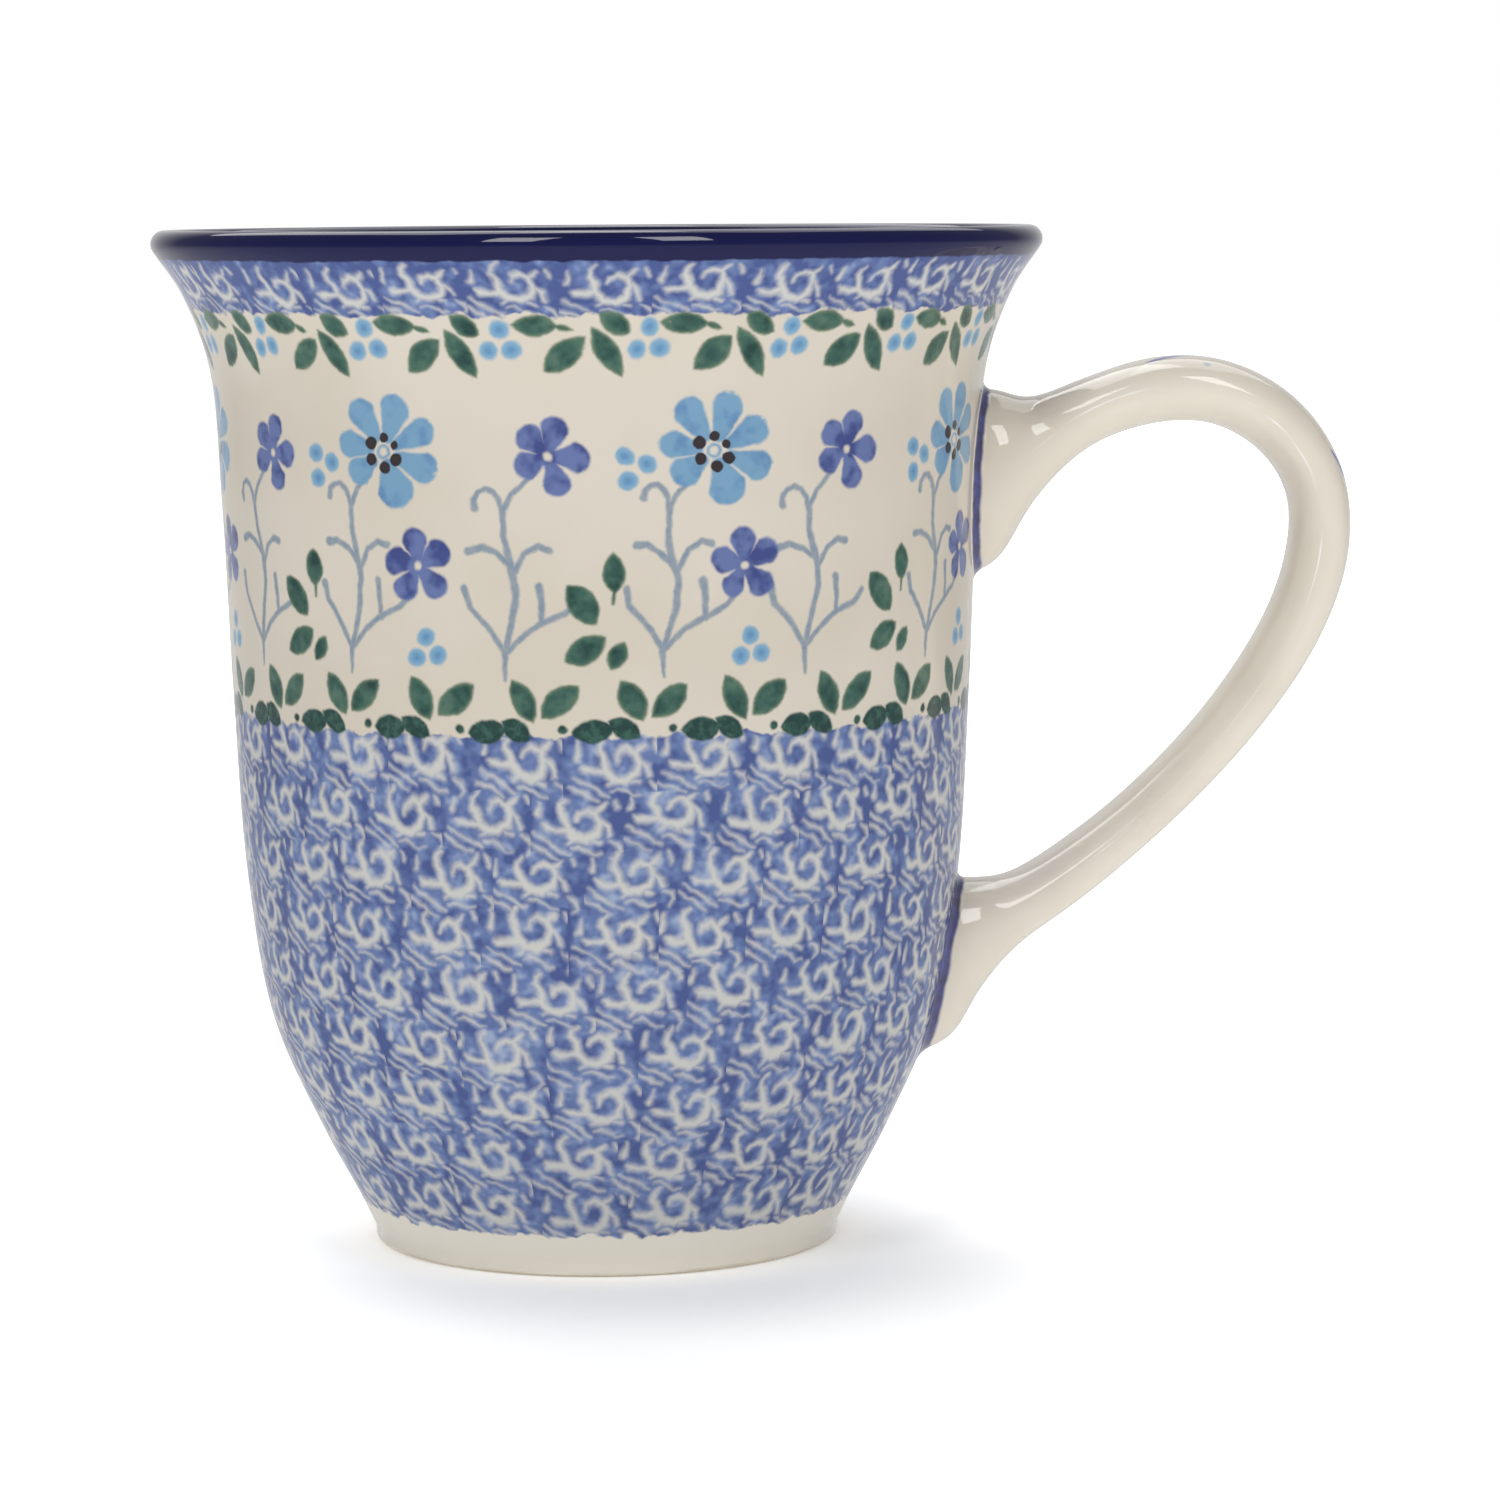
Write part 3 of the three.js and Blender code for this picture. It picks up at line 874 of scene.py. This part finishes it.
def paint_sponge(colour, place, z, turns, radius, blotch):
    """The field over the lower half and the band under the rim."""
    cover, overlap = sponge(place, z, turns, radius)
    mottle = noise(place, 1.5, 1.0)
    depth = blotch + mottle * 1.7 + noise(place, 5.0, 1.0) * 0.7
    side = calculate("ABSOLUTE", turns - 0.5)
    # Painted shade: the blue is laid deeper towards the flanks seen from the camera, most on the handle's
    # side.
    painted_side_shade = ramp(side, 0.28, 0.42) * 0.2 + ramp(side, 0.2, 0.06) * 0.1
    depth = depth + overlap * 0.3 + painted_side_shade + ramp(z, 100.0, 117.0) * 0.2 - 1.13
    pigment = shade(depth, (0.06, SPONGE_PALE), (0.46, SPONGE_MIDDLE), (1.12, SPONGE_DARK))
    wander = noise(place, 2.2, 2.0)
    low, high = hem_line(wander, *FIELD_BOTTOM), hem_line(wander, *FIELD_TOP)
    inside = ramp(z - low, -0.15, 0.25) * ramp(high - z, -0.15, 0.25)
    inside = calculate("MAXIMUM", inside, ramp(z - hem_line(wander, *BAND_BOTTOM), -0.15, 0.25))
    return over(colour, over(SPONGE_FAINT, pigment, cover), inside * 0.96)


def unrolled(place, z, turns):
    """Distances round the cup and up it in mm, swaying as a brush does in a hand."""
    sway = shaken(noise(place, 9.0, 1.0, colour=True), 1.4, 1.0)
    rough = shaken(noise(place, 1.0, 2.0, colour=True), 0.36, 0.36)
    flat = vector("ADD", combine(turns * CUP_ROUND - CAMERA_TURNS * CUP_ROUND, z), sway)
    s, height, _ = parts(vector("ADD", flat, rough))
    return s, height


def paint_plants(colour, s, height, place, grain, blotch, green):
    """Stems, leaf clusters, berries, the big sky-blue flowers and the small violet ones."""
    cell, x = fold(s, PLANT_PERIOD, PLANT_START)
    middle, reach = (PLANT_FIRST + PLANT_LAST) / 2, (PLANT_LAST - PLANT_FIRST) / 2
    shown = calculate("COMPARE", cell, middle, reach + 0.1)
    at = combine(x, height)
    second_cell, x = fold(s, PLANT_PERIOD, SECOND_START)
    slip = calculate("SINE", calculate("MULTIPLY_ADD", second_cell, SLIP_RATE, SLIP_PHASE))
    second_at = combine(x - slip * SECOND_SLIP, height)
    stems = least(*[stroke(at, points) for points in FIRST_STEMS])
    stems = least(stems, *[stroke(second_at, points) for points in SECOND_STEMS])
    wash = clamp(calculate("MULTIPLY_ADD", grain, 0.5, 0.66))
    colour = over(colour, STEM_BLUE, ramp(stems, 0.2, -0.24) * wash * shown)
    cluster = least(*[leaf(at, *shape) for shape in CLUSTER], stroke(at, CLUSTER_STALK))
    leaf_green = over(green, LEAF_EDGE, ramp(cluster, -0.5, -0.05) * 0.5)
    colour = over(colour, leaf_green, ramp(cluster, 0.2, -0.22) * shown)
    berries = least(*[dab(at, x, y, BERRY_RADIUS) for x, y in BERRIES])
    colour = over(colour, BERRY, ramp(berries, 0.18, -0.3) * shown)
    colour = over(colour, SKY_DEEP, ramp(berries, -0.2, -1.1) * 0.75 * shown)

    sky = over(SKY, SKY_DEEP, ramp(blotch, 0.45, 0.75))
    tips = dab(at, *BIG_FLOWER, BIG_REACH) + calculate("MULTIPLY_ADD", noise(place, 1.1, 2.0), 1.5, -0.75)
    big = calculate("MAXIMUM", least(*petals(at, *BIG_FLOWER, BIG_PETALS)), tips)
    ring = calculate("ABSOLUTE", dab(at, *BIG_FLOWER, BIG_RING_RADIUS)) - BIG_RING_WIDTH
    colour = over(colour, sky, ramp(least(big, ring), 0.2, -0.3) * 0.96 * shown)

    violet = over(VIOLET, VIOLET_DEEP, ramp(blotch, 0.42, 0.66))
    small = least(*petals(at, *FLOWER_A, PETALS_A), *petals(second_at, *FLOWER_B, PETALS_B))
    eyes = least(dab(at, *FLOWER_A, EYE_RADIUS), dab(second_at, *FLOWER_B, EYE_RADIUS))
    hearts = least(dab(at, *FLOWER_A, HEART_RADIUS), dab(second_at, *FLOWER_B, HEART_RADIUS))
    small = calculate("MAXIMUM", least(small, hearts), calculate("MULTIPLY", eyes, -1.0))
    colour = over(colour, violet, ramp(small, 0.22, -0.28) * 0.97 * shown)

    dots = []
    for degrees, far, dot_radius in BIG_DOTS:
        x = BIG_FLOWER[0] + far * math.cos(math.radians(degrees))
        y = BIG_FLOWER[1] + far * math.sin(math.radians(degrees))
        dots.append(dab(at, x, y, dot_radius))
    return over(colour, BROWN, ramp(least(*dots), 0.1, -0.1) * shown)


def paint_garlands(colour, s, height, grain, green):
    """Leaves and berries above the plants, and leaves and dark buds below them."""
    at = combine(fold(s, UPPER_PERIOD, UPPER_BERRY_START)[1], height)
    berries = least(*[dab(at, x, y, BERRY_RADIUS) for x, y in UPPER_BERRIES])
    colour = over(colour, BERRY, ramp(berries, 0.2, -0.35))
    colour = over(colour, SKY_DEEP, ramp(berries, -0.2, -1.1) * 0.75)
    at = combine(fold(s, UPPER_PERIOD, UPPER_START)[1], height)
    leaves = least(*[leaf(at, *shape) for shape in UPPER_LEAVES])
    at = combine(fold(s, LOWER_PERIOD, LOWER_START)[1], height)
    leaves = least(leaves, *[leaf(at, *shape) for shape in LOWER_LEAVES])
    leaf_green = over(green, LEAF_EDGE, ramp(leaves, -0.55, -0.05) * 0.6)
    colour = over(colour, leaf_green, ramp(leaves, 0.2, -0.22))
    at = combine(fold(s, LOWER_PERIOD, LOWER_BUD_START)[1], height)
    buds = least(*[leaf(at, *shape) for shape in LOWER_BUDS], dab(at, *LOWER_DOT))
    return over(colour, over(LEAF_MIDDLE, LEAF_DARK, ramp(grain, 0.3, 0.6)), ramp(buds, 0.2, -0.2))


def paint_cup(tree):
    """The base colour of the cup's outside, laid on in the order of a painter."""
    place, z, turns, radius = painted_surface(tree)
    cloud = noise(place, 18.0, 2.0)
    colour = over(CREAM, CREAM_WARM, ramp(cloud, 0.3, 0.75))
    # Painted light: the wall lightens towards the foot, as if lit from the floor below.
    colour = over(colour, CREAM_FOOT_PAINTED_LIGHT, ramp(z, *FOOT_PAINTED_LIGHT_RISE))
    grain = noise(place, 0.9, 3.0)
    blotch = noise(place, 2.6, 2.0)
    colour = paint_sponge(colour, place, z, turns, radius, blotch)
    s, height = unrolled(place, z, turns)
    leafy = calculate("MULTIPLY_ADD", grain, 0.35, blotch) - 0.18
    green = shade(leafy, (0.3, LEAF), (0.5, LEAF_MIDDLE), (0.72, LEAF_DARK))
    colour = paint_plants(colour, s, height, place, grain, blotch, green)
    colour = paint_garlands(colour, s, height, grain, green)
    colour = specks(colour, place, 7.0, 0.3)
    uneven = calculate("MULTIPLY_ADD", blotch, 0.7, z)
    return over(colour, COBALT, ramp(uneven, *RIM_OUTSIDE))


def attribute(tree, name):
    node = add_node(tree, "Attribute", {}, attribute_name=name)
    return Field(tree, node.outputs["Fac"])


def specks(colour, place, spacing, share):
    """Tiny iron specks, as in any stoneware glaze: one in some of the cells of a lattice."""
    node = add_node(place.tree, "TexVoronoi", {"Vector": place, "Scale": 1 / spacing})
    near = Field(place.tree, node.outputs["Distance"])
    pick = vector("DOT_PRODUCT", Field(place.tree, node.outputs["Color"]), (1, 0, 0))
    here = calculate("LESS_THAN", pick, share)
    return over(colour, SPECK, ramp(near, 0.2 / spacing, 0.08 / spacing) * here * 0.8)


# Where the painted highlight line shows on each face of the handle, in mm along its spine: a thin near-white
# line where a glint of light would run.
HIGHLIGHT_LINE_STRETCHES = [(11.0, 27.0), (38.0, 58.0), (62.0, 121.0)]
HIGHLIGHT_LINE_FADE = 4.0
# Brush strokes over the handle's spine, as (mm along it, mm across it, radius).
SPINE_STROKES = [
    [(26.5, -3.3, 0.3), (29.0, -1.9, 0.9), (32.0, 0.4, 1.1), (34.5, 3.2, 0.4)],
    [(53.0, -4.9, 0.3), (55.5, -3.6, 0.9), (58.5, -1.0, 1.1), (62.0, 3.0, 0.4)],
]
SPINE_DOT = (33.5, -5.0, 0.45)
LOWER_SEAM = (70.0, 60.0)  # mm up: below this the brush line reaches the wall's edge of the slip


def paint_handle(tree):
    """Cream glaze painted lighter than the cup's as painted light, with a painted highlight line on each
    face and brush strokes over the spine.
    """
    place = in_millimetres(tree)
    # Painted light: the handle's cream is laid lighter than the cup's.
    colour = over(CREAM_HANDLE_PAINTED_LIGHTER, CREAM_WARM, ramp(noise(place, 14.0), 0.35, 0.9) * 0.5)
    highlight_line = attribute(tree, "from_highlight_line")
    along = attribute(tree, "along_spine")
    seen = None
    for start, end in HIGHLIGHT_LINE_STRETCHES:
        stretch = ramp(along, start, start + HIGHLIGHT_LINE_FADE) * ramp(along, end, end - HIGHLIGHT_LINE_FADE)
        seen = stretch if seen is None else seen + stretch
    # A painted highlight: a thin near-white line along each face, where a glint of light would run.
    colour = over(colour, PAINTED_HIGHLIGHT_LINE, ramp(highlight_line, 0.006, 0.001) * seen)
    at = combine(along, attribute(tree, "from_spine"))
    strokes = least(*[stroke(at, points) for points in SPINE_STROKES])
    wash = shade(noise(place, 2.0), (0.35, SPINE_BLUE), (0.75, COBALT_THIN))
    colour = over(colour, wash, ramp(strokes, 0.2, -0.25) * 0.9)
    colour = over(colour, BERRY, ramp(dab(at, *SPINE_DOT), 0.2, -0.2) * 0.6)
    return specks(colour, place, 6.0, 0.35)


def paint_seam(tree):
    """The cobalt brush line over the slip, uneven as a brush leaves it, with the handle's lighter cream,
    which is painted light, at its edges.
    """
    place = in_millimetres(tree)
    across = attribute(tree, "across_seam") + (noise(place, 3.0) - 0.5) * 0.3
    _, _, z = parts(place)
    cover = calculate("MAXIMUM", ramp(across, 0.1, 0.28), ramp(z, *LOWER_SEAM)) * ramp(across, 0.9, 0.66)
    wash = shade(noise(place, 1.8, 3.0), (0.3, COBALT_THIN), (0.75, COBALT))
    return over(CREAM_HANDLE_PAINTED_LIGHTER, wash, cover * 0.93)


def paint_inside(tree):
    """The cream glaze inside, with the cobalt of the rim brought over the lip."""
    place, z, _, _ = painted_surface(tree)
    colour = over(CREAM, CREAM_WARM, ramp(noise(place, 18.0), 0.3, 0.75))
    ragged = calculate("MULTIPLY_ADD", noise(place, 3.0), 1.4, z)
    return over(colour, COBALT, ramp(ragged, *RIM_INSIDE))


def paint_foot(tree):
    """The glazed recess, and the ring round it that is wiped clear of glaze before firing."""
    place, z, _, radius = painted_surface(tree)
    # The recess takes the same lighter cream that is painted light on the lower wall.
    glazed = over(CREAM_FOOT_PAINTED_LIGHT, CREAM_WARM, ramp(noise(place, 9.0), 0.35, 0.8))
    clay = shade(noise(place, 0.7, 4.0), (0.3, CLAY_DARK), (0.6, CLAY))
    clay = specks(clay, place, 2.5, 0.4)
    edge = radius + noise(place, 2.5)
    return over(glazed, clay, ramp(edge, *CLAY_RADIUS) * ramp(z, *CLAY_TOP))


def glaze(name, paint, roughness):
    """A glossy glazed ceramic, with its colour from a painting function."""
    material = bpy.data.materials.new(name)
    material.use_nodes = True
    tree = material.node_tree
    shader = tree.nodes["Principled BSDF"]
    shader.inputs["Roughness"].default_value = roughness
    shader.inputs["IOR"].default_value = GLAZE_IOR
    tree.links.new(paint(tree).socket, shader.inputs["Base Color"])
    return material


# ---------------- scene

SENSOR_WIDTH = 36
CAMERA_LENS = 123.7  # mm
CAMERA_PLACE = (0, -0.6105, 0.1238)
CAMERA_YAW, CAMERA_PITCH, CAMERA_ROLL = 1.647, 6.163, -0.397  # degrees: right, down, clockwise
AIM_HEIGHT = 0.07  # of the lights

# Soft lights as (name, azimuth, elevation, width, height, distance, power). Azimuth 0 is behind
# the camera and positive to its right, in degrees.
LIGHTS = [
    ("strip_left", -24, 45, 0.34, 0.85, 1.6, 5.5),
    ("strip_right", 24, 45, 0.34, 0.85, 1.6, 5.5),
    ("back_left", -160, 52, 0.9, 1.2, 1.6, 7.5),
    ("back_right", 160, 52, 0.9, 1.2, 1.6, 4.5),
]

# What the glaze reflects: a dim room, lighter below the horizon and behind the mug. The camera
# itself sees white.
BEHIND_FROM = (0.72, 0.95)  # how far back a direction points, from 0 to 1
BEHIND_LIGHT = 0.66
BELOW_FROM = (0.02, -0.2)  # how far down it points
ROOM_LIGHT, BELOW_LIGHT = 0.16, 0.5

FLOOR_HALF = 4.0
FLOOR_DROP = 0.00005  # keeps the foot's flat from lying in the floor
FLOOR_GREY = 0.9
FLOOR_ROUGHNESS = 0.9
# The floor gives a little light of its own, less of it in a patch under the mug.
SHADOW_MIDDLE = (0.008, -0.014, 0)
SHADOW_EDGE = (0.02, 0.055)
SHADOW_DEPTH = 0.27
FAR_EDGE = (0.1, 0.6)
FAR_GLOW, NEAR_GLOW = 0.45, 0.26


def place_camera():
    camera = bpy.data.cameras.new("camera")
    camera.sensor_width = SENSOR_WIDTH
    camera.lens = CAMERA_LENS
    camera.clip_end = 20
    thing = bpy.data.objects.new("camera", camera)
    yaw, pitch, roll = map(math.radians, (CAMERA_YAW, CAMERA_PITCH, CAMERA_ROLL))
    turn = Matrix.Rotation(-yaw, 4, "Z") @ Matrix.Rotation(math.pi / 2 - pitch, 4, "X")
    thing.matrix_world = Matrix.Translation(CAMERA_PLACE) @ turn @ Matrix.Rotation(roll, 4, "Z")
    bpy.context.scene.collection.objects.link(thing)
    bpy.context.scene.camera = thing


def soft_light(name, azimuth, elevation, width, height, distance, power):
    """A rectangle of light aimed at the mug."""
    light = bpy.data.lights.new(name, "AREA")
    light.shape = "RECTANGLE"
    light.size = width
    light.size_y = height
    light.energy = power
    thing = bpy.data.objects.new(name, light)
    a, e = math.radians(azimuth), math.radians(elevation)
    away = Vector((math.sin(a) * math.cos(e), -math.cos(a) * math.cos(e), math.sin(e)))
    thing.location = Vector((0, 0, AIM_HEIGHT)) + distance * away
    thing.rotation_euler = away.to_track_quat("Z", "Y").to_euler()
    bpy.context.scene.collection.objects.link(thing)


def grey(level):
    return (level, level, level, 1)


def make_world():
    world = bpy.data.worlds.new("studio")
    bpy.context.scene.world = world
    world.use_nodes = True
    tree = world.node_tree
    direction = Field(tree, tree.nodes.new("ShaderNodeTexCoord").outputs["Generated"])
    _, back, up = parts(direction)
    behind = straight(back, *BEHIND_FROM, 0.0, 1.0)
    below = straight(up, *BELOW_FROM, ROOM_LIGHT, BELOW_LIGHT)
    room = over(below, grey(BEHIND_LIGHT), behind)
    path = tree.nodes.new("ShaderNodeLightPath")
    seen = over(room, grey(1.0), Field(tree, path.outputs["Is Camera Ray"]))
    tree.links.new(seen.socket, tree.nodes["Background"].inputs["Color"])


def make_floor():
    mesh = bpy.data.meshes.new("floor")
    corners = [(x * FLOOR_HALF, y * FLOOR_HALF, 0) for x, y in ((-1, -1), (1, -1), (1, 1), (-1, 1))]
    mesh.from_pydata(corners, [], [(0, 1, 2, 3)])
    floor = bpy.data.objects.new("floor", mesh)
    floor.location.z = -FLOOR_DROP
    floor.visible_glossy = False
    bpy.context.scene.collection.objects.link(floor)
    material = bpy.data.materials.new("floor")
    material.use_nodes = True
    tree = material.node_tree
    shader = tree.nodes["Principled BSDF"]
    shader.inputs["Base Color"].default_value = grey(FLOOR_GREY)
    shader.inputs["Roughness"].default_value = FLOOR_ROUGHNESS
    shader.inputs["Specular IOR Level"].default_value = 0.0
    shader.inputs["Emission Color"].default_value = grey(1.0)
    place = Field(tree, tree.nodes.new("ShaderNodeTexCoord").outputs["Object"])
    out_of_shadow = ramp(vector("DISTANCE", place, SHADOW_MIDDLE), *SHADOW_EDGE)
    far = ramp(vector("LENGTH", place), *FAR_EDGE)
    glow = calculate("MULTIPLY_ADD", out_of_shadow, SHADOW_DEPTH, far * FAR_GLOW + NEAR_GLOW)
    tree.links.new(glow.socket, shader.inputs["Emission Strength"])
    mesh.materials.append(material)


place_camera()
make_world()
make_floor()
for light in LIGHTS:
    soft_light(*light)

surface = handle_surface()
cup = face_outward(make_cup())
handle = face_outward(make_handle(surface))
upper_slip = face_outward(make_slip("upper_slip", surface, True))
lower_slip = face_outward(make_slip("lower_slip", surface, False))

# The order of the cup's materials is that of its three finishes.
cup.data.materials.append(glaze("foot_clay", paint_foot, CLAY_ROUGHNESS))
cup.data.materials.append(glaze("painted_glaze", paint_cup, GLAZE_ROUGHNESS))
cup.data.materials.append(glaze("inside_glaze", paint_inside, GLAZE_ROUGHNESS))
handle.data.materials.append(glaze("handle_glaze", paint_handle, HANDLE_ROUGHNESS))
seam_glaze = glaze("seam_glaze", paint_seam, GLAZE_ROUGHNESS)
for slip in (upper_slip, lower_slip):
    slip.data.materials.append(seam_glaze)

for piece, node, finish in [
    (cup, "cup_body", "decorated_glaze"),
    (handle, "handle", "cream_glaze"),
    (upper_slip, "upper_slip_joint", "cobalt_glaze"),
    (lower_slip, "lower_slip_joint", "cobalt_glaze"),
]:
    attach(piece, "root")
    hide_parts(node)

bpy.context.scene.view_settings.view_transform = "Standard"
